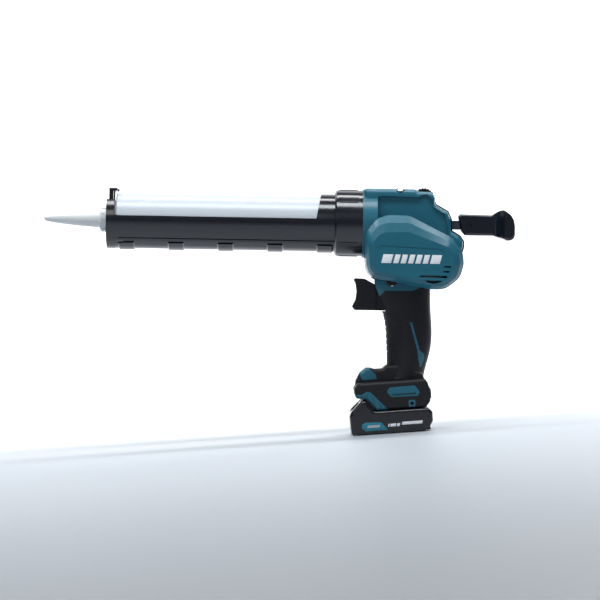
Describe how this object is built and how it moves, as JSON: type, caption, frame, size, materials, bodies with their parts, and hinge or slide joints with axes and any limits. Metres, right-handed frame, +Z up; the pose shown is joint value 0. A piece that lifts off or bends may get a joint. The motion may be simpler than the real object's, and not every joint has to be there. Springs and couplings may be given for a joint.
{
  "type": "cordless caulking gun",
  "caption": "Battery caulking gun with a cartridge in an open half-round holder, locking collar, motor-driven toothed rack, pistol grip and slide-off battery.",
  "frame": {"origin": "on the battery's flat underside, below the point of the barrel axis that is 27 mm behind the locking collar", "axes": "+Z up from the battery's underside; -X the way the nozzle points; +Y to the tool's right. The barrel is nose-up by 5 degrees."},
  "size_m": [0.4542, 0.0927, 0.2544],
  "materials": {
    "teal_plastic": "satin moulded glass-filled plastic",
    "black_elastomer": "fine-grained soft overmould",
    "black_plastic": "satin black plastic",
    "gloss_black": "semi-gloss black plastic",
    "cartridge_white": "smooth white polyethylene",
    "nozzle_white": "milky translucent polyethylene",
    "plunger_plastic": "white polyethylene",
    "rack_steel": "ground steel",
    "plated_steel": "zinc plated",
    "gear_steel": "sintered steel",
    "aluminium": "cast",
    "black_steel": "black phosphate",
    "bronze": "sintered bronze",
    "brass": "stamped",
    "cell_wrap": "shrink-wrapped cell can",
    "board": "laminate",
    "lens": "clear lens",
    "wire_jacket": "insulated wire",
    "magnet": "ferrite"
  },
  "bodies": {
    "tool_body": {"casing_left": "teal_plastic", "casing_right": "teal_plastic", "casing_screws": "black_steel", "grip_left": "black_elastomer", "grip_right": "black_elastomer", "rear_bumper": "black_elastomer", "front_socket": "black_plastic", "frame_plate_left": "plated_steel", "frame_plate_right": "plated_steel", "frame_spacers": "plated_steel", "frame_screws": "plated_steel", "shaft_bushes": "bronze", "roller_pin": "gear_steel", "rack_guide": "black_plastic", "idler_stud": "gear_steel", "planetary_gearbox": "gear_steel", "motor_can": "plated_steel", "motor_magnets": "magnet", "motor_end_cap": "black_plastic", "trigger_switch": "black_plastic", "trigger_spring": "plated_steel", "dial_potentiometer": "black_plastic", "status_lamp": "lens", "foot_lamp": "lens", "circuit_board": "board", "terminal_block": "black_plastic", "terminal_blades": "brass", "supply_wires": "wire_jacket", "belt_hook": "black_steel", "hook_screw": "black_steel", "lamp_bezel": "black_plastic"},
    "holder_unit": {"cartridge_tube": "cartridge_white", "cartridge_plunger": "plunger_plastic", "nozzle": "nozzle_white", "holder_trough": "gloss_black", "holder_front_plate": "gloss_black", "front_plate_screws": "black_steel"},
    "collar_unit": {"lock_collar": "gloss_black"},
    "rack_unit": {"rack": "rack_steel", "push_plate": "aluminium", "push_plate_screw": "plated_steel", "pull_handle": "black_plastic", "pull_handle_pin": "black_steel"},
    "pinion_unit": {"pinion_shaft": "gear_steel", "drive_gear": "gear_steel"},
    "idler_unit": {"idler_gear": "gear_steel"},
    "output_unit": {"output_pinion": "gear_steel"},
    "rotor_unit": {"motor_rotor": "gear_steel"},
    "roller_unit": {"backing_roller": "gear_steel"},
    "trigger_unit": {"trigger": "black_plastic"},
    "lock_off_unit": {"lock_off_button": "black_plastic"},
    "dial_unit": {"speed_dial": "black_plastic"},
    "battery_unit": {"battery_case_lower": "gloss_black", "battery_case_upper": "gloss_black", "battery_screws": "plated_steel", "battery_cells": "cell_wrap", "cell_straps": "brass"},
    "latch_unit": {"battery_latch": "black_plastic"}
  },
  "joints": [
    {"name": "rack_slide", "type": "slide", "parent": "tool_body", "child": "rack_unit", "axis": [0.9962, 0, -0.0872], "range_m": [0, 0.204]},
    {"name": "pinion_turn", "type": "hinge", "parent": "tool_body", "child": "pinion_unit", "pos_m": [0.00374, 0, 0.18632], "axis": [0, 1, 0], "range_deg": [0, 1041]},
    {"name": "idler_turn", "type": "hinge", "parent": "tool_body", "child": "idler_unit", "pos_m": [0.01454, 0, 0.16158], "axis": [0, 1, 0], "range_deg": [-2970.5, 0]},
    {"name": "output_turn", "type": "hinge", "parent": "tool_body", "child": "output_unit", "pos_m": [0.03637, 0, 0.15886], "axis": [0, 1, 0], "range_deg": [0, 6363]},
    {"name": "roller_spin", "type": "hinge", "parent": "tool_body", "child": "roller_unit", "pos_m": [0.00571, 0, 0.20893], "axis": [0, 1, 0], "continuous": true},
    {"name": "rotor_spin", "type": "hinge", "parent": "tool_body", "child": "rotor_unit", "pos_m": [0.03637, 0, 0.15886], "axis": [0, 1, 0], "continuous": true},
    {"name": "holder_turn", "type": "hinge", "parent": "tool_body", "child": "holder_unit", "pos_m": [0, 0, 0.201], "axis": [0.9962, 0, -0.0872], "continuous": true},
    {"name": "collar_turn", "type": "hinge", "parent": "tool_body", "child": "collar_unit", "pos_m": [-0.03985, 0, 0.20449], "axis": [0.9962, 0, -0.0872], "range_deg": [0, 60]},
    {"name": "trigger_pull", "type": "slide", "parent": "tool_body", "child": "trigger_unit", "axis": [0.9962, 0, -0.0872], "range_m": [0, 0.006], "stiffness_N_per_m": 450, "springref_m": -0.003, "deforming": ["trigger_spring"]},
    {"name": "lock_off_slide", "type": "slide", "parent": "tool_body", "child": "lock_off_unit", "axis": [0, 1, 0], "range_m": [-0.0025, 0.0025]},
    {"name": "dial_turn", "type": "hinge", "parent": "tool_body", "child": "dial_unit", "pos_m": [0.03418, 0, 0.2222], "axis": [0, 1, 0], "range_deg": [-135, 135]},
    {"name": "battery_slide", "type": "slide", "parent": "tool_body", "child": "battery_unit", "axis": [-1, 0, 0], "range_m": [0, 0.072]},
    {"name": "latch_press", "type": "slide", "parent": "battery_unit", "child": "latch_unit", "axis": [0, 0, -1], "range_m": [0, 0.0022], "stiffness_N_per_m": 400, "springref_m": -0.002}
  ],
  "couplings": [
    {"joint": "pinion_turn", "follows": "rack_slide", "rad_per_m": 88.889},
    {"joint": "idler_turn", "follows": "rack_slide", "rad_per_m": -253.97},
    {"joint": "output_turn", "follows": "rack_slide", "rad_per_m": 544.22}
  ]
}
